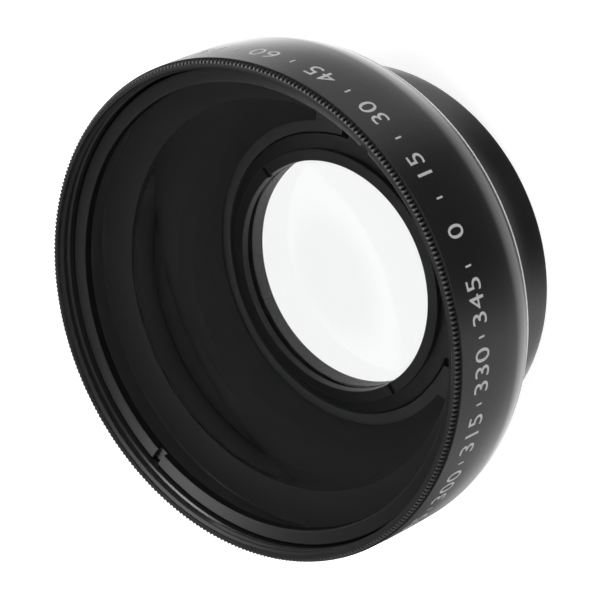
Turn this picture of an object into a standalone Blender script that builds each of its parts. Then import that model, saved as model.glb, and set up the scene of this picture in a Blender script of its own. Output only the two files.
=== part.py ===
# Wide-angle conversion lens with its close-up rear lens, standing on the rear thread, front glass up.
# The optical axis is Z and every piece is turned about it. Lengths are in metres.
import math

import bmesh
import bpy
from mathutils import Matrix

# Driving dimensions

GAP = 0.0003                 # clearance left wherever two pieces touch

# close-up glass, convex on both sides; the radii of all round it are built up outwards from it
MACRO_GLASS_R = 0.0226
MACRO_FRONT_CURVE = 0.120
MACRO_REAR_CURVE = 0.120
MACRO_EDGE = 0.0010
MACRO_HEIGHT = 0.00576       # rear vertex above the thread's end face

# close-up glass's retaining ring: a low tube with a thin flange round its foot
MACRO_RING_OVERLAP = 0.0027  # how far it laps over the glass
MACRO_RING_WIDTH = 0.0019    # top face that carries the spanner slots
MACRO_RING_RISE = 0.0018     # height of the tube above its lip on the glass
FLANGE_WIDTH = 0.0014        # how far the flange reaches past the glass's pocket
FLANGE_THICKNESS = 0.0007

# close-up ring
MACRO_SEAT_WIDTH = 0.0026    # ledge under the glass's rear edge
REAR_OPENING_INSET = 0.00285  # the rear opening is this much smaller in radius than the glass
REAR_RECESS = 0.0021         # thin end wall's depth inside the mount thread
REAR_WALL = 0.00076          # wall round the female 58 mm thread
MOUNT_SHOULDER = 0.00091     # step from the grip in to the 58 mm male mount thread
MOUNT_THREAD_LENGTH = 0.0029
END_FACE_WIDTH = 0.0025
EDGE_CHAMFER = 0.00025

# spigot that screws into the close-up ring
SPIGOT_CLEARANCE = 0.0020    # its bore clears the retaining ring's flange by this much
SPIGOT_WALL = 0.0024
SPIGOT_LENGTH = 0.0033
SPIGOT_CHAMFER = 0.0004

# barrel
BARREL_HEIGHT = 0.0230
REAR_FACE_WIDTH = 0.00173    # flat between the spigot and the round shoulder
SHOULDER_RADIUS = 0.0104
SHOULDER_SWEEP = math.radians(72.2)
BARREL_FLARE = 0.00045       # the barrel is this much smaller in radius behind the knurl
FLARE_LENGTH = 0.0067
KNURL_INSET = 0.0002
KNURL_LENGTH = 0.0008
KNURL_CHAMFER = 0.00025
KNURL_DEPTH = 0.0005
TEETH_PER_SIDE = 4
FRONT_WALL = 0.00125         # from the knurl's tips in to the glass bore
FILTER_THREAD_DEPTH = 0.0022
FILTER_THREAD_STEP = 0.00025
LIP_LAND = 0.00025           # flat that a filter's shoulder rests on

# front glass, almost flat in front and dished behind
GLASS_DEPTH = 0.00468        # front vertex below the rim
GLASS_THICKNESS = 0.0040
GLASS_FRONT_CURVE = 1.5
GLASS_DISH_CURVE = 0.085
GLASS_FLAT_WIDTH = 0.00595   # flat ring outside the dish
GLASS_SEAT_INSET = 0.0008    # the barrel's ledge for it starts this far outside the dish

# front retaining ring
FRONT_RING_WIDTH = 0.00215
FRONT_RING_HEIGHT = 0.00165

# spanner slots
FRONT_SLOT_WIDTH = 0.0014
MACRO_SLOT_WIDTH = 0.0010
SLOT_DEPTH = 0.0010
FRONT_SLOT_ANGLE = math.radians(114.0)
MACRO_SLOT_ANGLE = math.radians(8.0)

BARREL_SEGMENTS = 84
RING_SEGMENTS = 72
GLASS_SEGMENTS = 60

# Heights and radii that follow from them


def sag(curve, r):
    """How far a sphere of radius `curve` has dropped from its vertex at radius r."""
    return curve - math.sqrt(curve * curve - r * r)


macro_back_edge = MACRO_HEIGHT + sag(MACRO_REAR_CURVE, MACRO_GLASS_R)
macro_front_edge = macro_back_edge + MACRO_EDGE
macro_front = macro_front_edge + sag(MACRO_FRONT_CURVE, MACRO_GLASS_R)
macro_pocket_r = MACRO_GLASS_R + GAP
macro_seat_r = MACRO_GLASS_R - MACRO_SEAT_WIDTH
macro_seat = MACRO_HEIGHT + sag(MACRO_REAR_CURVE, macro_seat_r) - 1.2 * GAP
macro_ledge = macro_front_edge - 2.5 * GAP
rear_opening_r = MACRO_GLASS_R - REAR_OPENING_INSET

macro_ring_in = MACRO_GLASS_R - MACRO_RING_OVERLAP
macro_tube_r = macro_ring_in + MACRO_RING_WIDTH
macro_ring_out = macro_pocket_r + FLANGE_WIDTH
macro_ring_bottom = macro_ledge + GAP
macro_ring_lip = macro_front - sag(MACRO_FRONT_CURVE, macro_ring_in) + GAP
macro_ring_top = macro_ring_lip + MACRO_RING_RISE
macro_flange_under = macro_front_edge + GAP
macro_flange_top = macro_flange_under + FLANGE_THICKNESS
macro_bore_r = macro_ring_out + GAP

thread_stop = macro_flange_top
spigot_end = thread_stop + 1.3 * GAP
barrel_bottom = spigot_end + SPIGOT_LENGTH
ring_top = barrel_bottom - GAP
ring_bottom = MOUNT_THREAD_LENGTH
rim = barrel_bottom + BARREL_HEIGHT

spigot_bore_r = macro_ring_out + SPIGOT_CLEARANCE
spigot_r = spigot_bore_r + SPIGOT_WALL
female_thread_r = spigot_r + GAP
rear_ring_r = female_thread_r + REAR_WALL
mount_thread_r = rear_ring_r - MOUNT_SHOULDER

barrel_r = spigot_r + REAR_FACE_WIDTH + SHOULDER_RADIUS * (1.0 - math.cos(SHOULDER_SWEEP))
knurl_r = barrel_r - BARREL_FLARE - KNURL_INSET
bore_r = knurl_r - FRONT_WALL
filter_r = bore_r + FILTER_THREAD_STEP

glass_r = bore_r - GAP
glass_front = rim - GLASS_DEPTH
glass_back = glass_front - GLASS_THICKNESS
dish_r = glass_r - GLASS_FLAT_WIDTH
glass_flat = glass_back - sag(GLASS_DISH_CURVE, dish_r)
glass_seat = glass_flat - GAP
front_ring_bottom = glass_front - sag(GLASS_FRONT_CURVE, glass_r - FRONT_RING_WIDTH) + GAP
front_ring_top = front_ring_bottom + FRONT_RING_HEIGHT


def fresh_collection(name):
    collection = bpy.data.collections.new(name)
    bpy.context.scene.collection.children.link(collection)
    return collection


def material(name, colour, roughness, metallic=0.0, ior=1.5, transmission=0.0):
    mat = bpy.data.materials.new(name)
    mat.use_nodes = True
    shader = mat.node_tree.nodes["Principled BSDF"]
    shader.inputs["Base Color"].default_value = (*colour, 1.0)
    shader.inputs["Roughness"].default_value = roughness
    shader.inputs["Metallic"].default_value = metallic
    shader.inputs["IOR"].default_value = ior
    shader.inputs["Transmission Weight"].default_value = transmission
    return mat


def smooth(obj):
    obj.data.shade_smooth()
    obj.data.set_sharp_from_angle(angle=math.radians(30))


def turned(name, profile, segments, mat, collection, closed=True):
    """A turned piece: its (radius, height) profile runs down the outer side first.
    A closed profile makes a ring, an open one starts and ends on the axis."""
    mesh = bpy.data.meshes.new(name)
    points = [(r, 0.0, z) for r, z in profile]
    edges = [(i, i + 1) for i in range(len(points) - 1)]
    if closed:
        edges.append((len(points) - 1, 0))
    mesh.from_pydata(points, edges, [])
    obj = bpy.data.objects.new(name, mesh)
    collection.objects.link(obj)
    screw = obj.modifiers.new("turn", 'SCREW')
    screw.axis = 'Z'
    screw.angle = math.tau
    screw.steps = segments
    screw.render_steps = segments
    screw.use_merge_vertices = True
    screw.merge_threshold = 0.000005
    screw.use_smooth_shade = False
    evaluated = obj.evaluated_get(bpy.context.evaluated_depsgraph_get())
    obj.data = bpy.data.meshes.new_from_object(evaluated)
    obj.data.name = name
    obj.modifiers.clear()
    obj.data.materials.clear()
    obj.data.materials.append(mat)
    smooth(obj)
    return obj


def lens_surface(curve, vertex, r_from, r_to, rings, side):
    """Points on a spherical face from radius r_from to r_to; side -1 drops from the vertex, +1 rises."""
    steps = [r_from + (r_to - r_from) * i / rings for i in range(rings + 1)]
    return [(r, vertex + side * sag(curve, r)) for r in steps]


def hide_cutter(obj):
    obj.hide_render = True
    obj.display_type = 'WIRE'


def cut(obj, cutter):
    boolean = obj.modifiers.new("cut " + cutter.name, 'BOOLEAN')
    boolean.operation = 'DIFFERENCE'
    boolean.object = cutter


def slot_cutter(name, radius, ring_width, slot_width, top, angle, collection):
    """Two blocks, opposite each other, that notch a ring's front face for a spanner."""
    mesh = bpy.data.meshes.new(name)
    bm = bmesh.new()
    for turn in (angle, angle + math.pi):
        place = (
            Matrix.Rotation(turn, 4, 'Z')
            @ Matrix.Translation((radius, 0.0, top))
            @ Matrix.Diagonal((2.2 * ring_width, slot_width, 2 * SLOT_DEPTH, 1.0))
        )
        bmesh.ops.create_cube(bm, size=1.0, matrix=place)
    bm.to_mesh(mesh)
    bm.free()
    cutter = bpy.data.objects.new(name, mesh)
    collection.objects.link(cutter)
    hide_cutter(cutter)
    return cutter


def knurl_cutter(name, collection):
    """One long three-sided bar per groove, point inwards, all round the rim."""
    teeth = BARREL_SEGMENTS * TEETH_PER_SIDE
    pitch = math.tau * knurl_r / teeth
    point_r = knurl_r - KNURL_DEPTH
    half = 0.46 * pitch      # half the groove's width at the tips
    # the bar reaches just past the tips, and is still narrower than the pitch there
    past = 0.00004
    outer_half = half * (KNURL_DEPTH + past) / KNURL_DEPTH
    mesh = bpy.data.meshes.new(name)
    bm = bmesh.new()
    height = KNURL_LENGTH + 0.0004
    middle = rim - KNURL_LENGTH + height / 2
    for i in range(teeth):
        turn = math.tau * (i + 0.5) / teeth
        # a three-sided prism, stretched so that it is KNURL_DEPTH deep and one groove wide
        place = (
            Matrix.Rotation(turn, 4, 'Z')
            @ Matrix.Translation((point_r + (KNURL_DEPTH + past) * 2 / 3, 0.0, middle))
            @ Matrix.Diagonal(((KNURL_DEPTH + past) / 1.5, outer_half / (math.sqrt(3) / 2), 1.0, 1.0))
            @ Matrix.Rotation(math.pi / 2, 4, 'Z')
        )
        bmesh.ops.create_cone(
            bm, cap_ends=True, segments=3, radius1=1.0, radius2=1.0, depth=height, matrix=place,
        )
    bm.to_mesh(mesh)
    bm.free()
    cutter = bpy.data.objects.new(name, mesh)
    collection.objects.link(cutter)
    hide_cutter(cutter)
    return cutter


def barrel_profile():
    centre_r = barrel_r - SHOULDER_RADIUS
    centre_z = barrel_bottom + SHOULDER_RADIUS * math.sin(SHOULDER_SWEEP)
    outside = [
        (filter_r + LIP_LAND, rim),
        (knurl_r, rim - KNURL_CHAMFER),
        (knurl_r, rim - KNURL_LENGTH),
        (barrel_r - BARREL_FLARE, rim - KNURL_LENGTH),
        (barrel_r - BARREL_FLARE / 4, rim - FLARE_LENGTH),
    ]
    steps = 8
    for i in range(steps + 1):
        a = SHOULDER_SWEEP * i / steps
        outside.append((centre_r + SHOULDER_RADIUS * math.cos(a), centre_z - SHOULDER_RADIUS * math.sin(a)))
    spigot = [
        (spigot_r, barrel_bottom),
        (spigot_r, spigot_end + SPIGOT_CHAMFER),
        (spigot_r - SPIGOT_CHAMFER, spigot_end),
        (spigot_bore_r, spigot_end),
    ]
    inside = [
        (dish_r + GLASS_SEAT_INSET, glass_seat),
        (bore_r, glass_seat),
        (bore_r, rim - FILTER_THREAD_DEPTH),
        (filter_r, rim - FILTER_THREAD_DEPTH + (filter_r - bore_r)),
        (filter_r, rim),
    ]
    return outside + spigot + inside


def front_glass_profile():
    bevel = EDGE_CHAMFER
    crown = lens_surface(GLASS_FRONT_CURVE, glass_front, 0.0, glass_r - bevel, 2, -1)
    edge = [
        (glass_r, crown[-1][1] - bevel),
        (glass_r, glass_flat + bevel),
        (glass_r - bevel, glass_flat),
    ]
    dish = lens_surface(GLASS_DISH_CURVE, glass_back, dish_r, 0.0, 5, -1)
    return crown + edge + dish


def macro_glass_profile():
    front = lens_surface(MACRO_FRONT_CURVE, macro_front, 0.0, MACRO_GLASS_R, 4, -1)
    back = lens_surface(MACRO_REAR_CURVE, MACRO_HEIGHT, MACRO_GLASS_R, 0.0, 4, +1)
    return front + back


def front_ring_profile():
    outer = glass_r
    inner = glass_r - FRONT_RING_WIDTH
    return [
        (outer, front_ring_top),
        (outer, front_ring_bottom),
        (inner, front_ring_bottom),
        (inner, front_ring_top - EDGE_CHAMFER),
        (inner + EDGE_CHAMFER, front_ring_top),
    ]


def macro_ring_profile():
    return [
        (macro_tube_r, macro_ring_top),
        (macro_tube_r, macro_flange_top),
        (macro_ring_out, macro_flange_top),
        (macro_ring_out, macro_ring_bottom),
        (macro_pocket_r, macro_ring_bottom),
        (macro_pocket_r, macro_flange_under),
        (macro_ring_in + GAP, macro_ring_lip),
        (macro_ring_in, macro_ring_lip + GAP),
        (macro_ring_in, macro_ring_top),
    ]


def rear_body_profile():
    chamfer = EDGE_CHAMFER
    end_in = mount_thread_r - END_FACE_WIDTH
    return [
        (rear_ring_r - chamfer, ring_top),
        (rear_ring_r, ring_top - chamfer),
        (rear_ring_r, ring_bottom + chamfer),
        (rear_ring_r - chamfer, ring_bottom),
        (mount_thread_r, ring_bottom),
        (mount_thread_r, chamfer),
        (mount_thread_r - chamfer, 0.0),
        (end_in, 0.0),
        (end_in, REAR_RECESS),
        (rear_opening_r, REAR_RECESS),
        (macro_seat_r, macro_seat),
        (macro_pocket_r, macro_seat),
        (macro_pocket_r, macro_ledge),
        (macro_bore_r, macro_ledge),
        (macro_bore_r, thread_stop),
        (female_thread_r, thread_stop),
        (female_thread_r, ring_top),
    ]


def build():
    for old in list(bpy.data.objects):
        bpy.data.objects.remove(old, do_unlink=True)
    parts = fresh_collection("conversion_lens")
    cutters = fresh_collection("cutters")

    black = material("black_anodised", (0.022, 0.022, 0.024), 0.38, 0.6)
    satin = material("satin_black_ring", (0.035, 0.035, 0.037), 0.42, 0.5)
    rear_black = material("rear_ring_black", (0.020, 0.020, 0.022), 0.40, 0.6)
    inner_black = material("inner_ring_black", (0.045, 0.045, 0.047), 0.50, 0.3)
    clear = material("front_glass", (0.96, 0.97, 0.98), 0.02, 0.0, 1.517, 1.0)
    clear_rear = material("close_up_glass", (0.97, 0.98, 0.98), 0.02, 0.0, 1.517, 1.0)

    # the pieces screwed to the camera lens
    turned("macro_ring", rear_body_profile(), RING_SEGMENTS, rear_black, parts)
    turned("macro_element", macro_glass_profile(), GLASS_SEGMENTS, clear_rear, parts, closed=False)
    retainer = turned("macro_retaining_ring", macro_ring_profile(), GLASS_SEGMENTS, inner_black, parts)
    cut(retainer, slot_cutter(
        "macro_ring_slots", macro_tube_r - MACRO_RING_WIDTH / 2, MACRO_RING_WIDTH, MACRO_SLOT_WIDTH,
        macro_ring_top, MACRO_SLOT_ANGLE, cutters))

    # the wide-angle unit, which turns on the close-up ring's thread
    axis = bpy.data.objects.new("wide_unit_axis", None)
    axis.location = (0.0, 0.0, 0.0)
    parts.objects.link(axis)
    barrel = turned("main_barrel", barrel_profile(), BARREL_SEGMENTS, black, parts)
    cut(barrel, knurl_cutter("knurl_grooves", cutters))
    glass = turned("front_element", front_glass_profile(), GLASS_SEGMENTS, clear, parts, closed=False)
    ring = turned("front_retaining_ring", front_ring_profile(), RING_SEGMENTS, satin, parts)
    cut(ring, slot_cutter(
        "front_ring_slots", glass_r - FRONT_RING_WIDTH / 2, FRONT_RING_WIDTH, FRONT_SLOT_WIDTH,
        front_ring_top, FRONT_SLOT_ANGLE, cutters))
    for piece in (barrel, glass, ring):
        piece.parent = axis


build()
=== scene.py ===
import math

import bmesh
import bpy
from mathutils import Matrix, Vector


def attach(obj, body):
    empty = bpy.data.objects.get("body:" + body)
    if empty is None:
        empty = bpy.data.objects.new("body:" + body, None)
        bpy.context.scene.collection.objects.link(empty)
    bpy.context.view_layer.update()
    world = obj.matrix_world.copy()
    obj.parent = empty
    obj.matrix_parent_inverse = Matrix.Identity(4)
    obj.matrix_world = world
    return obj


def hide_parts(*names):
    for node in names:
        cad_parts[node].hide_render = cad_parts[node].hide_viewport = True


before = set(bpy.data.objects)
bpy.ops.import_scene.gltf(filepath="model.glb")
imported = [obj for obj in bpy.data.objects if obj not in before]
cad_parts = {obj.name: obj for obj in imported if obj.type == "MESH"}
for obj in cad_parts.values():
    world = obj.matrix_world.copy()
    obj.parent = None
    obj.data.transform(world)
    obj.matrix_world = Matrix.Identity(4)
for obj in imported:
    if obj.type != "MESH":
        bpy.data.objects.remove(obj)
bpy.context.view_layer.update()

print("stage: frame loaded,", len(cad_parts), "pieces")

mm = 0.001
micron = 0.000001
turn = math.tau
scene = bpy.context.scene
collection = scene.collection

# heights are counted up from the rear thread's end face, radii out from the optical axis
lens = dict(rim=36.597 * mm, step=35.797 * mm, barrelBottom=13.597 * mm, ringTop=13.297 * mm,
            ringBottom=2.9 * mm)


# shapes

meshFacts = dict(sharpDeg=30.0, glassSharpDeg=20.0, glassSegments=192, leastR=0.0001 * mm)
ridgeFacts = dict(perTurn=144, runOut=0.07, root=0.44, crest=0.09, sink=0.08 * mm, leastTip=0.02,
                  sharpDeg=40.0)


def sag(curve, r):
    return curve - math.sqrt(curve * curve - r * r)


def addMesh(name, verts, faces, body, sharpDeg=meshFacts["sharpDeg"]):
    mesh = bpy.data.meshes.new(name)
    mesh.from_pydata(verts, [], faces)
    mesh.update()
    mesh.shade_smooth()
    mesh.set_sharp_from_angle(angle=math.radians(sharpDeg))
    piece = bpy.data.objects.new(name, mesh)
    collection.objects.link(piece)
    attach(piece, body)
    return piece


def turned(name, profile, steps, body, closed=True, sharpDeg=meshFacts["sharpDeg"]):
    # profile runs down the outer side; closed joins its end to its start, which a disc doesn't need
    verts, rows = [], []
    for r, z in profile:
        if r < meshFacts["leastR"]:
            rows.append([len(verts)] * steps)
            verts.append((0.0, 0.0, z))
        else:
            rows.append(list(range(len(verts), len(verts) + steps)))
            angles = [turn * i / steps for i in range(steps)]
            verts += [(r * math.cos(a), r * math.sin(a), z) for a in angles]
    faces = []
    pairs = list(zip(rows, rows[1:]))
    if closed:
        pairs.append((rows[-1], rows[0]))
    for upper, lower in pairs:
        for i in range(steps):
            j = (i + 1) % steps
            corners = list(dict.fromkeys((upper[i], lower[i], lower[j], upper[j])))
            if len(corners) > 2:
                faces.append(corners)
    return addMesh(name, verts, faces, body, sharpDeg)


def turnedGlass(name, profile, body):
    return turned(name, profile, meshFacts["glassSegments"], body, closed=False,
                  sharpDeg=meshFacts["glassSharpDeg"])


def threadRidge(name, t, body):
    # one ridge wound up the wall, its section a blunt tooth, run out to nothing at both ends
    facts, pitch, wallR = ridgeFacts, t["pitch"], t["wallR"]
    perTurn = facts["perTurn"]
    height = t["crestR"] - wallR
    inward = height < 0
    footR = wallR + facts["sink"] if inward else wallR - facts["sink"]
    root, crest, runOut = facts["root"] * pitch, facts["crest"] * pitch, facts["runOut"] * perTurn
    count = int((t["zHigh"] - t["zLow"]) / pitch * perTurn)
    verts, faces = [], []
    for i in range(count + 1):
        a = turn * i / perTurn + t["phase"]
        z = t["zLow"] + pitch * i / perTurn
        run = min(1.0, i / runOut, (count - i) / runOut)
        tip = wallR + height * max(run, facts["leastTip"])
        section = [(footR, z - root), (wallR, z - root), (tip, z - crest),
                   (tip, z + crest), (wallR, z + root), (footR, z + root)]
        verts += [(r * math.cos(a), r * math.sin(a), h) for r, h in section]
    n = len(section)
    for i in range(count):
        for k in range(n):
            a, b = i * n + k, i * n + (k + 1) % n
            quad = [a, b, b + n, a + n]
            faces.append(quad if inward else quad[::-1])
    first = list(range(n))
    last = [count * n + k for k in range(n)]
    faces += [first[::-1], last] if inward else [first, last[::-1]]
    return addMesh(name, verts, faces, body, facts["sharpDeg"])


def notch(piece, name, radius, s):
    # two spanner slots, cut into the mesh itself
    mesh = bpy.data.meshes.new(name)
    bm = bmesh.new()
    for a in (s["slotAngle"], s["slotAngle"] + math.pi):
        slotFrame = (Matrix.Rotation(a, 4, 'Z') @ Matrix.Translation((radius, 0.0, s["top"]))
                     @ Matrix.Diagonal((s["slotLength"], s["slotWidth"], 2 * s["slotDepth"], 1.0)))
        bmesh.ops.create_cube(bm, size=1.0, matrix=slotFrame)
    bm.to_mesh(mesh)
    bm.free()
    cutter = bpy.data.objects.new(name, mesh)
    collection.objects.link(cutter)
    cutting = piece.modifiers.new("slots", 'BOOLEAN')
    cutting.operation = 'DIFFERENCE'
    cutting.object = cutter
    bpy.context.view_layer.update()
    cutMesh = bpy.data.meshes.new_from_object(piece.evaluated_get(bpy.context.evaluated_depsgraph_get()))
    piece.modifiers.clear()
    piece.data = cutMesh
    cutMesh.shade_smooth()
    cutMesh.set_sharp_from_angle(angle=math.radians(meshFacts["sharpDeg"]))
    bpy.data.objects.remove(cutter)


def dress(piece, mat, slotName, *nodes):
    piece.data.materials.clear()
    piece.data.materials.append(mat)
    if nodes:
        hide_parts(*nodes)


def paintFaces(piece, mats, pick):
    # pick gives a face its place among the extra materials, counted from 1, or 0 for the piece's own
    for mat in mats:
        piece.data.materials.append(mat)
    for face in piece.data.polygons:
        face.material_index = pick(face, math.hypot(face.center.x, face.center.y), face.center.z)


# shader building blocks

def feed(tree, socket, value):
    if isinstance(value, (int, float)):
        socket.default_value = value
    elif isinstance(value, tuple):
        socket.default_value = (*value, 1.0)
    elif value is not None:
        tree.links.new(value, socket)


def mathNode(tree, operation, a, b=None, c=None, clamp=False):
    node = tree.nodes.new('ShaderNodeMath')
    node.operation = operation
    node.use_clamp = clamp
    for socket, value in zip(node.inputs, (a, b, c)):
        feed(tree, socket, value)
    return node.outputs[0]


def blendValue(tree, factor, a, b):
    node = tree.nodes.new('ShaderNodeMix')
    for index, value in ((0, factor), (2, a), (3, b)):
        feed(tree, node.inputs[index], value)
    return node.outputs[0]


def mixColour(tree, factor, a, b):
    node = tree.nodes.new('ShaderNodeMix')
    node.data_type = 'RGBA'
    for index, value in ((0, factor), (6, a), (7, b)):
        feed(tree, node.inputs[index], value)
    return node.outputs[2]


def ramp(tree, value, low, high):
    node = tree.nodes.new('ShaderNodeMapRange')
    node.interpolation_type = 'SMOOTHSTEP'
    for label, source in (("Value", value), ("From Min", low), ("From Max", high)):
        feed(tree, node.inputs[label], source)
    return node.outputs["Result"]


def noise(tree, vector, scale, detail):
    node = tree.nodes.new('ShaderNodeTexNoise')
    for label, value in (("Vector", vector), ("Scale", scale), ("Detail", detail)):
        feed(tree, node.inputs[label], value)
    return node.outputs["Fac"]


# shared surface effects

effects = dict(grainDetail=2.0, cloudDetail=3.0, lineDetail=3.0, wavesPerLine=3.0,
               roundSamples=4, wearLimit=0.995, wearGain=6.0, patchScale=400.0, patchDetail=2.0)


def newEffect(name, numbers, results):
    # every effect reads a position and a few numbers, and gives numbers back
    group = bpy.data.node_groups.new(name, 'ShaderNodeTree')
    group.interface.new_socket(name="Position", in_out='INPUT', socket_type='NodeSocketVector')
    for label in numbers:
        group.interface.new_socket(name=label, in_out='INPUT', socket_type='NodeSocketFloat')
    for label in results:
        group.interface.new_socket(name=label, in_out='OUTPUT', socket_type='NodeSocketFloat')
    return group, group.nodes.new('NodeGroupInput').outputs, group.nodes.new('NodeGroupOutput').inputs


def makeGrain(e):
    # blasted grain with a slow cloudiness over it
    group, given, found = newEffect("anodisedGrain", ("Grain Size", "Cloud Size"), ("Grain", "Cloud"))
    position = given["Position"]
    group.links.new(noise(group, position, given["Grain Size"], e["grainDetail"]), found["Grain"])
    group.links.new(noise(group, position, given["Cloud Size"], e["cloudDetail"]), found["Cloud"])
    return group


def makeToolLines(e):
    # the fine rings that a lathe tool leaves, counted along the radius and the height together
    group, given, found = newEffect("toolLines", ("Lines Per Metre", "Unevenness"), ("Height",))
    split = group.nodes.new('ShaderNodeSeparateXYZ')
    group.links.new(given["Position"], split.inputs[0])
    x, y, z = split.outputs
    radius = mathNode(group, 'SQRT', mathNode(group, 'ADD', mathNode(group, 'MULTIPLY', x, x),
                                              mathNode(group, 'MULTIPLY', y, y)))
    along = mathNode(group, 'MULTIPLY', mathNode(group, 'ADD', radius, z), given["Lines Per Metre"])
    lines = group.nodes.new('ShaderNodeTexNoise')
    lines.noise_dimensions = '1D'
    for label, value in (("W", along), ("Scale", 1.0), ("Detail", e["lineDetail"])):
        feed(group, lines.inputs[label], value)
    wave = mathNode(group, 'SINE', mathNode(group, 'MULTIPLY', along, e["wavesPerLine"]))
    wave = mathNode(group, 'MULTIPLY_ADD', wave, 0.5, 0.5)
    group.links.new(blendValue(group, given["Unevenness"], wave, lines.outputs["Fac"]), found["Height"])
    return group


def makeEdgeWear(e):
    # corners where the black has rubbed thin, found where a small round-over would bend the surface
    group, given, found = newEffect("rubbedEdges", ("Reach",), ("Mask",))
    rounded = group.nodes.new('ShaderNodeBevel')
    rounded.samples = e["roundSamples"]
    group.links.new(given["Reach"], rounded.inputs["Radius"])
    bend = group.nodes.new('ShaderNodeVectorMath')
    bend.operation = 'DOT_PRODUCT'
    group.links.new(rounded.outputs["Normal"], bend.inputs[0])
    group.links.new(group.nodes.new('ShaderNodeNewGeometry').outputs["Normal"], bend.inputs[1])
    edge = mathNode(group, 'SUBTRACT', e["wearLimit"], bend.outputs["Value"])
    edge = mathNode(group, 'MULTIPLY', edge, e["wearGain"], clamp=True)
    patch = noise(group, given["Position"], e["patchScale"], e["patchDetail"])
    group.links.new(mathNode(group, 'MULTIPLY', edge, patch, clamp=True), found["Mask"])
    return group


grainGroup, linesGroup, wearGroup = makeGrain(effects), makeToolLines(effects), makeEdgeWear(effects)
print("stage: shared effects ready")


# materials

blueLift = 0.0005


def grey(level):
    return (level, level, level)


def coolGrey(level):
    return (level, level, level + blueLift)


# what most of the black metals share; each piece's look names the rest
anodised = dict(worn=grey(0.05), wearReach=0.1 * mm, metallic=0.0, unevenness=0.6)
brushTurn = 0.25   # part of a full turn, which lays the gloss across the lathe lines
glassGrain = 2500.0
paintFacts = dict(grainSize=6000.0, cloudSize=300.0, grainDepth=4.0 * micron)


def addEffect(tree, group, position, **values):
    node = tree.nodes.new('ShaderNodeGroup')
    node.node_tree = group
    tree.links.new(position, node.inputs["Position"])
    for label, value in values.items():
        node.inputs[label.replace("_", " ")].default_value = value
    return node.outputs


def newMaterial(name):
    mat = bpy.data.materials.new(name)
    mat.use_nodes = True
    tree = mat.node_tree
    return mat, tree, tree.nodes["Principled BSDF"], tree.nodes.new('ShaderNodeTexCoord').outputs["Object"]


def addBump(tree, shader, height):
    # the height is in metres
    bump = tree.nodes.new('ShaderNodeBump')
    bump.inputs["Distance"].default_value = 1.0
    tree.links.new(height, bump.inputs["Height"])
    tree.links.new(bump.outputs["Normal"], shader.inputs["Normal"])


def blackMetal(name, baseLook, brushed=0.0, **changes):
    # black anodised aluminium: colour and gloss vary with the grain, corners are rubbed
    look = dict(baseLook, **changes)
    mat, tree, shader, position = newMaterial(name)
    grain = addEffect(tree, grainGroup, position, Grain_Size=look["grainSize"], Cloud_Size=look["cloudSize"])
    lines = addEffect(tree, linesGroup, position, Lines_Per_Metre=look["linesPerMetre"],
                      Unevenness=look["unevenness"])
    wear = addEffect(tree, wearGroup, position, Reach=look["wearReach"])
    base = mixColour(tree, grain["Cloud"], look["dark"], look["pale"])
    base = mixColour(tree, wear["Mask"], base, look["worn"])
    tree.links.new(base, shader.inputs["Base Color"])
    low, high = look["rough"]
    spread = mathNode(tree, 'MULTIPLY', grain["Cloud"], high - low)
    tree.links.new(mathNode(tree, 'ADD', spread, low), shader.inputs["Roughness"])
    shader.inputs["Metallic"].default_value = look["metallic"]
    shader.inputs["IOR"].default_value = look["ior"]
    grainHeight = mathNode(tree, 'MULTIPLY', grain["Grain"], look["grainDepth"])
    lineHeight = mathNode(tree, 'MULTIPLY', lines["Height"], look["lineDepth"])
    addBump(tree, shader, mathNode(tree, 'ADD', grainHeight, lineHeight))
    if brushed > 0:
        shader.inputs["Anisotropic"].default_value = brushed
        shader.inputs["Anisotropic Rotation"].default_value = brushTurn
        tangent = tree.nodes.new('ShaderNodeTangent')
        tangent.direction_type = 'RADIAL'
        tangent.axis = 'Z'
        tree.links.new(tangent.outputs["Tangent"], shader.inputs["Tangent"])
    return mat


def lensGlass(name, look):
    mat, tree, shader, position = newMaterial(name)
    grain = addEffect(tree, grainGroup, position, Grain_Size=glassGrain, Cloud_Size=look["smearSize"])
    tint = mixColour(tree, grain["Cloud"], look["tint"], look["tintPale"])
    tree.links.new(tint, shader.inputs["Base Color"])
    tree.links.new(mathNode(tree, 'MULTIPLY', grain["Cloud"], look["smear"]), shader.inputs["Roughness"])
    shader.inputs["Transmission Weight"].default_value = 1.0
    shader.inputs["IOR"].default_value = look["ior"]
    return mat


def flatPaint(name, look):
    mat, tree, shader, position = newMaterial(name)
    grain = addEffect(tree, grainGroup, position, Grain_Size=paintFacts["grainSize"],
                      Cloud_Size=paintFacts["cloudSize"])
    base = mixColour(tree, grain["Grain"], look["dark"], look["pale"])
    tree.links.new(base, shader.inputs["Base Color"])
    shader.inputs["Roughness"].default_value = look["rough"]
    addBump(tree, shader, mathNode(tree, 'MULTIPLY', grain["Grain"], paintFacts["grainDepth"]))
    return mat


# barrel

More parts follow.
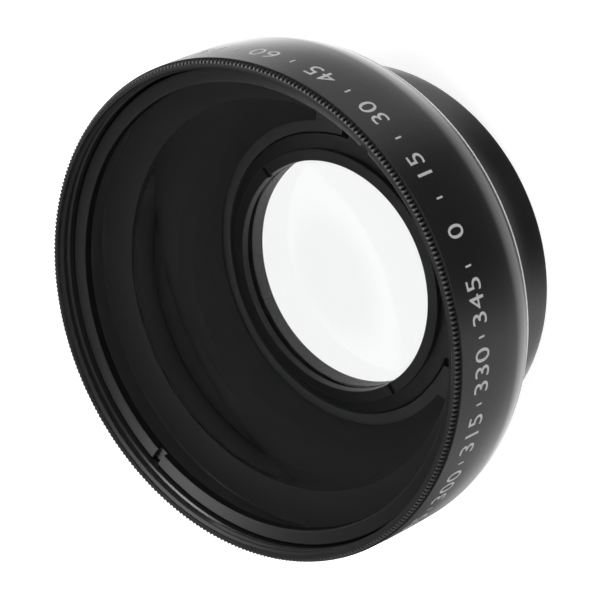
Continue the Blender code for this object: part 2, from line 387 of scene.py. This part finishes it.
barrel = dict(
    segments=252, outerR=37.65 * mm, flare=0.45 * mm, flareCurve=1.7, flareSteps=6,
    shoulder=10.4 * mm, sweep=math.radians(72.2), shoulderSteps=40,
    stepR=36.05 * mm, stepChamfer=0.06 * mm, filterR=36.0 * mm, filterDepth=2.2 * mm, filterChamfer=0.25 * mm,
    boreR=35.75 * mm, seatR=30.3 * mm, seat=22.334 * mm, funnelSteps=8,
    spigotR=28.7 * mm, spigotBoreR=26.3 * mm, spigotEnd=10.297 * mm, spigotChamfer=0.4 * mm,
    spigotBoreChamfer=(0.25 * mm, 0.2 * mm), paintReach=0.1 * mm, stepUp=0.9, funnelUp=-0.2,
    filterThread=dict(wallR=36.0 * mm, crestR=35.62 * mm, zLow=lens["rim"] - 1.85 * mm,
                      zHigh=lens["rim"] - 0.47 * mm, pitch=0.97 * mm, phase=2.0),
    spigotThread=dict(wallR=28.7 * mm, crestR=28.93 * mm, zLow=10.75 * mm, zHigh=13.1 * mm, pitch=0.75 * mm,
                      phase=0.0),
    look=dict(anodised, dark=coolGrey(0.008), pale=coolGrey(0.013), rough=(0.16, 0.23), ior=1.6,
              grainSize=7000.0, cloudSize=70.0, linesPerMetre=6000.0, unevenness=0.7,
              grainDepth=1.2 * micron, lineDepth=1.0 * micron),
    lining=dict(anodised, dark=coolGrey(0.056), pale=coolGrey(0.062), worn=grey(0.03), rough=(0.75, 0.9),
                ior=1.2, grainSize=3000.0, cloudSize=40.0, linesPerMetre=4000.0,
                grainDepth=0.2 * micron, lineDepth=0.2 * micron),
    # painted shade: a darker, duller black for the knurl's gaps and the step under the teeth, where shade falls
    groove=dict(anodised, dark=grey(0.008), pale=grey(0.011), worn=grey(0.012), rough=(0.7, 0.8),
                ior=1.3, grainSize=3000.0, cloudSize=40.0, linesPerMetre=4000.0,
                grainDepth=0.6 * micron, lineDepth=0.4 * micron),
    rimChanges=dict(rough=(0.40, 0.50), ior=1.4, wearReach=0.03 * mm, worn=grey(0.02)),
)
knurling = dict(
    # the section of the knurled ring: radius, height below the rim, share of the teeth's full depth
    section=((36.25 * mm, 0.0, 0.0), (36.5 * mm, 0.02 * mm, 0.16), (36.7 * mm, 0.06 * mm, 0.4),
             (36.88 * mm, 0.125 * mm, 0.76), (37.0 * mm, 0.25 * mm, 1.0), (37.0 * mm, 0.7 * mm, 1.0),
             (36.97 * mm, 0.78 * mm, 1.0), (36.75 * mm, 0.8 * mm, 0.5), (36.0 * mm, 0.8 * mm, 0.0),
             (36.0 * mm, 0.04 * mm, 0.0), (36.04 * mm, 0.0, 0.0)),
    teeth=336, depth=0.5 * mm, wave=(0.0, 0.5, 1.0, 0.5), sharpDeg=24.0,
    gapQuarters=(1, 2), paintedR=36.5 * mm,
    # the tips' paler black is a painted highlight; their rubbed corners are real wear
    tipHighlightChanges=dict(dark=coolGrey(0.028), pale=coolGrey(0.048), rough=(0.34, 0.44), ior=1.5,
                    wearReach=0.02 * mm, worn=grey(0.08)),
)


def shoulderZ(b):
    # height of the shoulder's centre, where the flare ends
    return lens["barrelBottom"] + b["shoulder"] * math.sin(b["sweep"])


def flareR(b, f):
    # f is 0 under the knurl and 1 where the shoulder starts
    return b["outerR"] - b["flare"] * (1 - f) ** b["flareCurve"]


def makeBarrel(b):
    bottom, step, chamfer = lens["barrelBottom"], lens["step"], b["stepChamfer"]
    centreR, centreZ = b["outerR"] - b["shoulder"], shoulderZ(b)
    topR = flareR(b, 0.0)
    outside = [(b["stepR"], step), (topR - chamfer, step), (topR, step - chamfer)]
    for i in range(1, b["flareSteps"] + 1):
        f = i / b["flareSteps"]
        outside.append((flareR(b, f), step - (step - centreZ) * f))
    for i in range(1, b["shoulderSteps"] + 1):
        a = b["sweep"] * i / b["shoulderSteps"]
        outside.append((centreR + b["shoulder"] * math.cos(a), centreZ - b["shoulder"] * math.sin(a)))
    boreIn, boreUp = b["spigotBoreChamfer"]
    spigot = [(b["spigotR"], bottom), (b["spigotR"], b["spigotEnd"] + b["spigotChamfer"]),
              (b["spigotR"] - b["spigotChamfer"], b["spigotEnd"]),
              (b["spigotBoreR"] + boreIn, b["spigotEnd"]), (b["spigotBoreR"], b["spigotEnd"] + boreUp)]
    inside = []
    for i in range(1, b["funnelSteps"] + 1):   # black funnel behind the front glass
        f = i / b["funnelSteps"]
        inside.append((b["spigotBoreR"] + (b["seatR"] - b["spigotBoreR"]) * f,
                       b["spigotEnd"] + boreUp + (b["seat"] - b["spigotEnd"] - boreUp) * f))
    recess = lens["rim"] - b["filterDepth"]
    inside += [(b["boreR"], b["seat"]), (b["boreR"], recess - b["filterChamfer"]), (b["filterR"], recess),
               (b["filterR"], step)]
    return turned("barrelShell", outside + spigot + inside, b["segments"], "wide_unit")


def shellPaint(face, r, z):
    # 1 on the funnel behind the front glass, 2 on the step under the knurl, which gets painted shade: a darker,
    # duller black where the teeth would shade it
    b, normal = barrel, face.normal
    if normal.z > b["stepUp"] and abs(z - lens["step"]) < b["paintReach"]:
        return 2
    facesAxis = normal.x * face.center.x + normal.y * face.center.y < 0 and normal.z > b["funnelUp"]
    onFunnel = b["spigotBoreR"] - b["paintReach"] < r < b["seatR"] and z > b["spigotEnd"]
    return 1 if facesAxis and onFunnel else 0


def makeKnurl(k):
    # straight teeth with their own chamfer
    steps = k["teeth"] * len(k["wave"])
    verts, faces = [], []
    for radius, drop, share in k["section"]:
        for i in range(steps):
            a, r = turn * i / steps, radius - k["wave"][i % len(k["wave"])] * share * k["depth"]
            verts.append((r * math.cos(a), r * math.sin(a), lens["rim"] - drop))
    count = len(k["section"])
    for row in range(count):
        for i in range(steps):
            j, nextRow = (i + 1) % steps, (row + 1) % count
            faces.append([row * steps + i, nextRow * steps + i, nextRow * steps + j, row * steps + j])
    return addMesh("knurledRim", verts, faces, "wide_unit", k["sharpDeg"])


def knurlPaint(face, r, z):
    # 1 in the deep half of each gap, which gets painted shade, and 2 on the tips, which get a painted highlight
    if r < knurling["paintedR"]:
        return 0
    return 1 if face.index % len(knurling["wave"]) in knurling["gapQuarters"] else 2


funnelBlack = blackMetal("funnelBlack", barrel["lining"])
grooveBlack = blackMetal("grooveBlack", barrel["groove"])
rimBlack = blackMetal("rimBlack", barrel["look"], **barrel["rimChanges"])
toothTipHighlight = blackMetal("toothTipHighlight", barrel["look"], **knurling["tipHighlightChanges"])
shell = makeBarrel(barrel)
dress(shell, blackMetal("barrelBlack", barrel["look"]), "barrel_black", "main_barrel")
paintFaces(shell, (funnelBlack, grooveBlack), shellPaint)
knurl = makeKnurl(knurling)
dress(knurl, rimBlack, "barrel_black")
paintFaces(knurl, (grooveBlack, toothTipHighlight), knurlPaint)
dress(threadRidge("filterThread", barrel["filterThread"], "wide_unit"), rimBlack, "barrel_black")
dress(threadRidge("spigotThread", barrel["spigotThread"], "wide_unit"), rimBlack, "barrel_black")
print("stage: barrel made")

# front retaining ring and front glass

frontRing = dict(
    segments=240, outerR=35.45 * mm, innerR=33.3 * mm, bottom=31.85 * mm, top=33.5 * mm, chamfer=0.18 * mm,
    slotLength=4.6 * mm, slotWidth=1.4 * mm, slotDepth=1.0 * mm, slotAngle=math.radians(114.0),
    look=dict(anodised, dark=coolGrey(0.009), pale=coolGrey(0.014), rough=(0.60, 0.66), ior=1.6,
              grainSize=5000.0, cloudSize=90.0, linesPerMetre=9000.0, unevenness=0.5,
              grainDepth=1.0 * micron, lineDepth=5.0 * micron),
    brushed=0.92, wallReach=0.05 * mm,
    # the wall's darker black is painted shade in the gap down to the glass
    wallShadeChanges=dict(dark=grey(0.003), pale=grey(0.005), worn=grey(0.006), ior=1.15),
)
frontGlass = dict(
    r=35.45 * mm, front=31.92 * mm, back=27.92 * mm, frontCurve=1.5, dishCurve=85 * mm, dishR=29.5 * mm,
    bevel=0.25 * mm, frontSteps=12, dishSteps=24, paintedEdge=0.3 * mm,
    look=dict(tint=(0.975, 0.977, 0.98), tintPale=(0.985, 0.987, 0.99), smear=0.004, smearSize=40.0,
              ior=1.517),
)
edgeLook = dict(dark=coolGrey(0.062), pale=coolGrey(0.070), rough=0.9)


def makeFrontRing(f):
    c = f["chamfer"]
    profile = [(f["outerR"] - c, f["top"]), (f["outerR"], f["top"] - c), (f["outerR"], f["bottom"]),
               (f["innerR"] + c, f["bottom"]), (f["innerR"], f["bottom"] + c), (f["innerR"], f["top"] - c),
               (f["innerR"] + c, f["top"])]
    ring = turned("frontRing", profile, f["segments"], "wide_unit")
    notch(ring, "frontSlots", (f["outerR"] + f["innerR"]) / 2, f)
    return ring


def makeFrontGlass(g):
    bevel, edgeR = g["bevel"], g["r"] - g["bevel"]
    flat = g["back"] - sag(g["dishCurve"], g["dishR"])
    frontRadii = [edgeR * i / g["frontSteps"] for i in range(g["frontSteps"] + 1)]
    dishRadii = [g["dishR"] * (g["dishSteps"] - i) / g["dishSteps"] for i in range(g["dishSteps"] + 1)]
    crown = [(r, g["front"] - sag(g["frontCurve"], r)) for r in frontRadii]
    edge = [(g["r"], crown[-1][1] - bevel), (g["r"], flat + bevel), (edgeR, flat)]
    dish = [(r, g["back"] - sag(g["dishCurve"], r)) for r in dishRadii]
    return turnedGlass("frontGlass", crown + edge + dish, "front_glass")


def ringPaint(face, r, z):
    # the ring's inner wall, down to the glass, gets painted shade: a darker, duller black
    return 1 if r < frontRing["innerR"] + frontRing["wallReach"] else 0


def frontEdgePaint(face, r, z):
    # a lens's ground edge is painted black, so that no light runs round inside the glass
    onFlat = r > frontGlass["dishR"] and z < frontGlass["back"]
    return 1 if onFlat or r > frontGlass["r"] - frontGlass["paintedEdge"] else 0


retainingRing = makeFrontRing(frontRing)
ringSatin = blackMetal("frontRingSatin", frontRing["look"], frontRing["brushed"])
ringWallShade = blackMetal("ringWallShade", barrel["groove"], **frontRing["wallShadeChanges"])
dress(retainingRing, ringSatin, "front_ring_satin", "front_retaining_ring")
paintFaces(retainingRing, (ringWallShade,), ringPaint)
edgePaint = flatPaint("blackenedGlassEdge", edgeLook)
frontPane = makeFrontGlass(frontGlass)
dress(frontPane, lensGlass("frontLensGlass", frontGlass["look"]), "front_glass", "front_element")
paintFaces(frontPane, (edgePaint,), frontEdgePaint)
print("stage: front glass and its ring made")

# close-up ring, its glass and the ring that holds it

rearRing = dict(
    segments=216, gripR=29.76 * mm, gripChamfer=0.22 * mm, rootR=28.7 * mm, rootChamfer=0.1 * mm,
    pilotR=27.6 * mm, pilotTop=1.65 * mm, pilotChamfer=0.2 * mm, endIn=26.35 * mm, endChamfer=0.15 * mm,
    recess=2.1 * mm, openingR=19.75 * mm, openingChamfer=0.12 * mm, openingSteps=6,
    seatR=20.0 * mm, seat=7.078 * mm, pocketR=22.9 * mm, ledge=8.157 * mm, boreR=24.6 * mm,
    threadStop=9.907 * mm, femaleR=29.0 * mm, mouthChamfer=0.15 * mm,
    mountThread=dict(wallR=28.7 * mm, crestR=28.95 * mm, zLow=2.02 * mm, zHigh=2.62 * mm, pitch=0.4 * mm,
                     phase=0.0),
    joinThread=dict(wallR=29.0 * mm, crestR=28.8 * mm, zLow=10.4 * mm, zHigh=12.9 * mm, pitch=0.75 * mm,
                    phase=math.pi),
    look=dict(anodised, dark=coolGrey(0.007), pale=coolGrey(0.012), rough=(0.16, 0.22), ior=1.45,
              grainSize=6000.0, cloudSize=80.0, linesPerMetre=7000.0,
              grainDepth=1.2 * micron, lineDepth=1.0 * micron),
    wellChanges=dict(dark=coolGrey(0.075), pale=coolGrey(0.09), rough=(0.5, 0.6), ior=1.4),
    wellReach=0.1 * mm,
)
closeUpGlass = dict(
    r=22.6 * mm, front=11.055 * mm, back=5.76 * mm, frontCurve=120 * mm, backCurve=120 * mm, steps=24,
    paintedEdge=0.1 * mm,
    look=dict(tint=(0.98, 0.982, 0.985), tintPale=grey(0.99), smear=0.003, smearSize=50.0, ior=1.517),
)
innerRing = dict(
    segments=200, innerR=19.9 * mm, tubeR=21.8 * mm, outerR=24.3 * mm, pocketR=22.9 * mm, top=11.493 * mm,
    flangeTop=9.907 * mm, flangeUnder=9.207 * mm, bottom=8.457 * mm, lip=9.693 * mm, lipSlope=0.3 * mm,
    chamfer=0.1 * mm,
    slotLength=4.2 * mm, slotWidth=1.0 * mm, slotDepth=1.0 * mm, slotAngle=math.radians(8.0),
    look=dict(anodised, dark=coolGrey(0.010), pale=coolGrey(0.018), worn=grey(0.16), rough=(0.34, 0.46),
              metallic=0.1, ior=1.45, grainSize=5000.0, cloudSize=120.0, linesPerMetre=9000.0, unevenness=0.5,
              grainDepth=0.8 * micron, lineDepth=1.5 * micron),
)


def makeRearRing(b):
    top, low, c = lens["ringTop"], lens["ringBottom"], b["gripChamfer"]
    profile = [(b["gripR"] - c, top), (b["gripR"], top - c), (b["gripR"], low + c), (b["gripR"] - c, low),
               (b["rootR"], low), (b["rootR"], b["pilotTop"] + b["rootChamfer"]),
               (b["rootR"] - b["rootChamfer"], b["pilotTop"]), (b["pilotR"], b["pilotTop"]),
               (b["pilotR"], b["pilotChamfer"]), (b["pilotR"] - b["pilotChamfer"], 0.0),
               (b["endIn"] + b["endChamfer"], 0.0), (b["endIn"], b["endChamfer"]), (b["endIn"], b["recess"]),
               (b["openingR"] + b["openingChamfer"], b["recess"])]
    openingZ = b["recess"] + b["openingChamfer"]
    for i in range(b["openingSteps"] + 1):
        f = i / b["openingSteps"]
        profile.append((b["openingR"] + (b["seatR"] - b["openingR"]) * f,
                        openingZ + (b["seat"] - openingZ) * f))
    profile += [(b["pocketR"], b["seat"]), (b["pocketR"], b["ledge"]),
                (b["boreR"], b["ledge"]), (b["boreR"], b["threadStop"]), (b["femaleR"], b["threadStop"]),
                (b["femaleR"], top - b["mouthChamfer"]), (b["femaleR"] + b["mouthChamfer"], top)]
    return turned("closeUpBody", profile, b["segments"], "close_up_unit")


def makeCloseUpGlass(g):
    radii = [g["r"] * i / g["steps"] for i in range(g["steps"] + 1)]
    front = [(r, g["front"] - sag(g["frontCurve"], r)) for r in radii]
    back = [(r, g["back"] + sag(g["backCurve"], r)) for r in reversed(radii)]
    return turnedGlass("closeUpGlass", front + back, "close_up_unit")


def makeInnerRing(b):
    c, slope = b["chamfer"], b["lipSlope"]
    profile = [(b["tubeR"] - c, b["top"]), (b["tubeR"], b["top"] - c), (b["tubeR"], b["flangeTop"]),
               (b["outerR"] - c, b["flangeTop"]), (b["outerR"], b["flangeTop"] - c), (b["outerR"], b["bottom"]),
               (b["pocketR"], b["bottom"]), (b["pocketR"], b["flangeUnder"]), (b["innerR"] + slope, b["lip"]),
               (b["innerR"], b["lip"] + slope), (b["innerR"], b["top"] - c), (b["innerR"] + c, b["top"])]
    ring = turned("innerRing", profile, b["segments"], "close_up_unit")
    notch(ring, "innerSlots", (b["tubeR"] + b["innerR"]) / 2, b)
    return ring


def wellPaint(face, r, z):
    # the well in front of the close-up glass is a duller black
    b = rearRing
    inWell = b["ledge"] - b["wellReach"] < z < b["threadStop"] + b["wellReach"]
    return 1 if inWell and r < b["femaleR"] else 0


def closeUpEdgePaint(face, r, z):
    return 1 if r > closeUpGlass["r"] - closeUpGlass["paintedEdge"] else 0


rearBlack = blackMetal("closeUpBlack", rearRing["look"])
wellBlack = blackMetal("wellBlack", barrel["lining"], **rearRing["wellChanges"])
closeUpBody = makeRearRing(rearRing)
dress(closeUpBody, rearBlack, "rear_ring_black", "macro_ring")
paintFaces(closeUpBody, (wellBlack,), wellPaint)
closeUpPane = makeCloseUpGlass(closeUpGlass)
dress(closeUpPane, lensGlass("closeUpLensGlass", closeUpGlass["look"]), "close_up_glass", "macro_element")
paintFaces(closeUpPane, (edgePaint,), closeUpEdgePaint)
dress(makeInnerRing(innerRing), blackMetal("innerRingBlack", innerRing["look"]), "inner_ring_black",
      "macro_retaining_ring")
dress(threadRidge("mountThread", rearRing["mountThread"], "close_up_unit"), rearBlack, "rear_ring_black")
dress(threadRidge("joinThread", rearRing["joinThread"], "close_up_unit"), rearBlack, "rear_ring_black")
print("stage: close-up unit made")

# plain scale round the barrel

scale = dict(
    height=3.0 * mm, capShare=0.69, spacing=1.08, thickness=0.0005, curveSteps=6,
    middle=lens["rim"] - 5.15 * mm, proud=0.02 * mm, sink=0.05 * mm,
    everyDeg=15, startDeg=-92.0, tickHeight=1.2 * mm, tickWidth=0.28 * mm,
    look=dict(dark=grey(0.31), pale=grey(0.38), rough=0.5),
)


def wrapped(points, degrees, s):
    # flat drawing to barrel: x runs round, y up the barrel, and the third number is above 0 outside
    out = []
    for x, y, level in points:
        z = s["middle"] + y
        r = flareR(barrel, (lens["step"] - z) / (lens["step"] - shoulderZ(barrel)))
        a = math.radians(s["startDeg"] + degrees) + x / r
        r += s["proud"] if level > 0 else -s["sink"]
        out.append((r * math.cos(a), r * math.sin(a), z))
    return out


def figureMesh(number, s):
    curve = bpy.data.curves.new("figure", 'FONT')
    curve.body = str(number)
    curve.size = s["height"] / s["capShare"]
    curve.align_x = 'CENTER'
    curve.align_y = 'CENTER'
    curve.extrude = s["thickness"]
    curve.resolution_u = s["curveSteps"]
    curve.space_character = s["spacing"]
    figure = bpy.data.objects.new("figure", curve)
    collection.objects.link(figure)
    bpy.context.view_layer.update()
    mesh = bpy.data.meshes.new_from_object(figure.evaluated_get(bpy.context.evaluated_depsgraph_get()))
    bpy.data.objects.remove(figure)
    return mesh


def makeScale(s):
    verts, faces = [], []
    for degrees in range(0, 360, s["everyDeg"]):
        mesh = figureMesh(degrees, s)
        heights = [v.co.y for v in mesh.vertices]
        middle = (min(heights) + max(heights)) / 2
        start = len(verts)
        verts += wrapped([(v.co.x, v.co.y - middle, v.co.z) for v in mesh.vertices], degrees, s)
        faces += [[start + i for i in p.vertices] for p in mesh.polygons]
    w, h = s["tickWidth"] / 2, s["tickHeight"] / 2
    tick = [(x, y, level) for level in (0, 1) for x, y in ((-w, -h), (w, -h), (w, h), (-w, h))]
    sides = ((3, 2, 1, 0), (4, 5, 6, 7), (0, 1, 5, 4), (1, 2, 6, 5), (2, 3, 7, 6), (3, 0, 4, 7))
    for gap in range(360 // s["everyDeg"]):   # a tick halfway between each two numbers
        start = len(verts)
        verts += wrapped(tick, (gap + 0.5) * s["everyDeg"], s)
        faces += [[start + i for i in side] for side in sides]
    return addMesh("barrelScale", verts, faces, "wide_unit")


dress(makeScale(scale), flatPaint("scalePaint", scale["look"]), "barrel_black")
print("stage: scale made")

# floor, world, lamps, camera

table = dict(
    size=12.0, drop=0.02 * mm, colour=grey(0.80), seen=0.60, throughGlass=1.10,
    # what the black metal mirrors of it: levels by distance from the lens, and the distances they change over
    bore=0.30, near=2.00, ring=0.86, inner=1.05, outer=0.50,
    boreR=(24.0 * mm, 27.0 * mm), ringR=(31.0 * mm, 32.0 * mm), innerR=(35.6 * mm, 37.2 * mm),
    outerR=(45.5 * mm, 56.0 * mm),
    # patches: compass angle, degrees from it where the patch ends, degrees from it where it is full
    darkFront=(-90.0, 40.0, 8.0), darkLeft=(138.0, 60.0, 12.0), paleRight=(-18.0, 52.0, 8.0),
    paleLeft=(-160.0, 52.0, 8.0), paleFar=(25.0, 50.0, 10.0),
    frontLoss=0.95, leftLoss=0.80, leftLossInner=0.62, rightGain=1.30, leftGain=0.60, farGain=0.50,
)
room = dict(
    horizon=0.62, zenith=0.42, share=0.5, underGlassShare=1.8, underSurfaces=2.5, underBounces=0.5,
    # patches of the sky: direction, degrees from it where the patch ends, degrees from it where it is full
    cloth=((0.0, 0.677, 0.736), 22.0, 10.0), clothLevel=0.05,
    behind=((0.0, 0.677, 0.736), 105.0, 75.0), behindLevel=0.02,
    boxes=(((0.23, 0.35, 0.91), 17.0, 7.0, 4.0), ((0.57, -0.14, 0.81), 22.0, 9.0, 22.0)),
)


def spot(tree, direction, aim, wide, narrow):
    dot = tree.nodes.new('ShaderNodeVectorMath')
    dot.operation = 'DOT_PRODUCT'
    dot.inputs[1].default_value = Vector(aim).normalized()
    tree.links.new(direction, dot.inputs[0])
    return ramp(tree, dot.outputs["Value"], math.cos(math.radians(wide)), math.cos(math.radians(narrow)))


def mirrorOnly(tree, path):
    # a ray that has passed through glass counts as glossy too
    return mathNode(tree, 'SUBTRACT', path["Is Glossy Ray"], path["Is Transmission Ray"], clamp=True)


def mirroredFloor(tree, position, t):
    # the floor glows only for mirrored rays, in a pattern set to paint the reflections on the black metal:
    # white near the lens, dark in front and to the left
    flat = tree.nodes.new('ShaderNodeVectorMath')
    flat.operation = 'MULTIPLY'
    flat.inputs[1].default_value = (1.0, 1.0, 0.0)
    tree.links.new(position, flat.inputs[0])
    size = tree.nodes.new('ShaderNodeVectorMath')
    size.operation = 'LENGTH'
    tree.links.new(flat.outputs["Vector"], size.inputs[0])
    away = size.outputs["Value"]
    aim = tree.nodes.new('ShaderNodeVectorMath')
    aim.operation = 'NORMALIZE'
    tree.links.new(flat.outputs["Vector"], aim.inputs[0])

    def patch(name):
        degrees, wide, narrow = t[name]
        a = math.radians(degrees)
        return spot(tree, aim.outputs["Vector"], (math.cos(a), math.sin(a), 0.0), wide, narrow)

    def times(a, b):
        return mathNode(tree, 'MULTIPLY', a, b)

    def plus(a, b):
        return mathNode(tree, 'ADD', a, b)

    def without(mask, amount):
        return mathNode(tree, 'SUBTRACT', 1.0, times(mask, amount))

    darkLeft, front = patch("darkLeft"), without(patch("darkFront"), t["frontLoss"])
    inner = plus(times(patch("paleRight"), t["rightGain"]), times(patch("paleLeft"), t["leftGain"]))
    inner = times(plus(inner, t["inner"]), without(darkLeft, t["leftLossInner"]))
    outer = plus(times(patch("paleFar"), t["farGain"]), t["outer"])
    outer = times(outer, times(front, without(darkLeft, t["leftLoss"])))
    level = blendValue(tree, ramp(tree, away, *t["boreR"]), t["bore"], t["near"])
    level = blendValue(tree, ramp(tree, away, *t["ringR"]), level, times(front, t["ring"]))
    level = blendValue(tree, ramp(tree, away, *t["innerR"]), level, inner)
    return blendValue(tree, ramp(tree, away, *t["outerR"]), level, outer)


def makeFloor(t):
    bpy.ops.mesh.primitive_plane_add(size=t["size"], location=(0.0, 0.0, -t["drop"]))
    floor = bpy.context.object
    floor.name = "floor"
    mat, tree, shader, position = newMaterial("paleFloor")
    path = tree.nodes.new('ShaderNodeLightPath').outputs
    colour = mixColour(tree, path["Is Glossy Ray"], t["colour"], grey(0.0))
    tree.links.new(colour, shader.inputs["Base Color"])
    shader.inputs["Roughness"].default_value = 1.0
    shader.inputs["Specular IOR Level"].default_value = 0.0
    shader.inputs["Emission Color"].default_value = (1.0, 1.0, 1.0, 1.0)
    seen = mathNode(tree, 'MULTIPLY', path["Is Camera Ray"], t["seen"])
    mirrored = mathNode(tree, 'MULTIPLY', mirrorOnly(tree, path), mirroredFloor(tree, position, t))
    through = mathNode(tree, 'MULTIPLY', path["Is Transmission Ray"], t["throughGlass"])
    strength = mathNode(tree, 'MAXIMUM', mathNode(tree, 'MAXIMUM', seen, mirrored), through)
    tree.links.new(strength, shader.inputs["Emission Strength"])
    floor.data.materials.append(mat)


def makeWorld(s):
    world = bpy.data.worlds.new("studio")
    scene.world = world
    world.use_nodes = True
    tree = world.node_tree
    direction = tree.nodes.new('ShaderNodeTexCoord').outputs["Generated"]
    path = tree.nodes.new('ShaderNodeLightPath').outputs
    split = tree.nodes.new('ShaderNodeSeparateXYZ')
    tree.links.new(direction, split.inputs[0])
    # a little darker towards the zenith
    level = mathNode(tree, 'MULTIPLY_ADD', split.outputs[2], s["zenith"] - s["horizon"], s["horizon"])
    # a dark cloth high up behind the lens, which the flat front glass mirrors to the camera
    level = blendValue(tree, spot(tree, direction, *s["cloth"]), level, s["clothLevel"])
    # two soft boxes that only metal and the front of the glass mirror
    mirror = mirrorOnly(tree, path)
    for aim, wide, narrow, power in s["boxes"]:
        box = mathNode(tree, 'MULTIPLY', spot(tree, direction, aim, wide, narrow), mirror)
        level = mathNode(tree, 'MULTIPLY_ADD', box, power, level)
    # what lies under the front glass gets more of the soft light
    passed = path["Is Transmission Ray"]
    deep = mathNode(tree, 'GREATER_THAN', path["Transmission Depth"], s["underSurfaces"])
    bounced = mathNode(tree, 'GREATER_THAN', path["Diffuse Depth"], s["underBounces"])
    under = mathNode(tree, 'MULTIPLY', mathNode(tree, 'MAXIMUM', deep, bounced), passed)
    gain = mathNode(tree, 'MULTIPLY_ADD', under, s["underGlassShare"], s["share"])
    level = mathNode(tree, 'MULTIPLY', level, gain)
    # what the dished back of the glass would mirror is dark
    mirroredBehind = mathNode(tree, 'MULTIPLY', spot(tree, direction, *s["behind"]),
                              mathNode(tree, 'SUBTRACT', passed, under))
    level = blendValue(tree, mirroredBehind, level, s["behindLevel"])
    background = tree.nodes["Background"]
    tree.links.new(level, background.inputs["Strength"])
    background.inputs["Color"].default_value = (1.0, 1.0, 1.0, 1.0)


lamps = [
    dict(name="keyLamp", place=(0.15, 0.25, 0.69), size=0.40, power=4.0),
    dict(name="fillLamp", place=(-0.60, -0.25, 0.45), size=0.45, power=4.0),
    dict(name="sideLamp", place=(0.55, -0.45, 0.40), size=0.45, power=4.0),
]
lampTarget = (0.0, 0.0, 0.02)


def makeLamp(l):
    light = bpy.data.lights.new(l["name"], 'AREA')
    light.shape = 'SQUARE'
    light.size = l["size"]
    light.energy = l["power"]
    lamp = bpy.data.objects.new(l["name"], light)
    collection.objects.link(lamp)
    lamp.location = l["place"]
    lamp.visible_glossy = False   # metal and glass mirror the table and the room, not these lamps
    lamp.visible_transmission = False
    aim = Vector(lampTarget) - Vector(l["place"])
    lamp.rotation_euler = aim.to_track_quat('-Z', 'Y').to_euler()


view = dict(right=(-0.411506, -0.670730, -0.617078), up=(0.911407, -0.302838, -0.278614),
            back=(0.0, -0.677060, 0.735927), eye=(-0.001137, -0.217183, 0.259972),
            lensLength=132.0, sensor=36.0, clip=(0.01, 50.0))


def makeCamera(v):
    data = bpy.data.cameras.new("camera")
    data.sensor_width = v["sensor"]
    data.sensor_fit = 'HORIZONTAL'
    data.lens = v["lensLength"]
    data.clip_start, data.clip_end = v["clip"]
    camera = bpy.data.objects.new("camera", data)
    collection.objects.link(camera)
    turnTo = Matrix((v["right"], v["up"], v["back"])).transposed()
    camera.matrix_world = Matrix.Translation(v["eye"]) @ turnTo.to_4x4()
    scene.camera = camera


makeFloor(table)
makeWorld(room)
for lampFacts in lamps:
    makeLamp(lampFacts)
makeCamera(view)
scene.view_settings.view_transform = 'Standard'
print("stage: floor, light and camera ready")
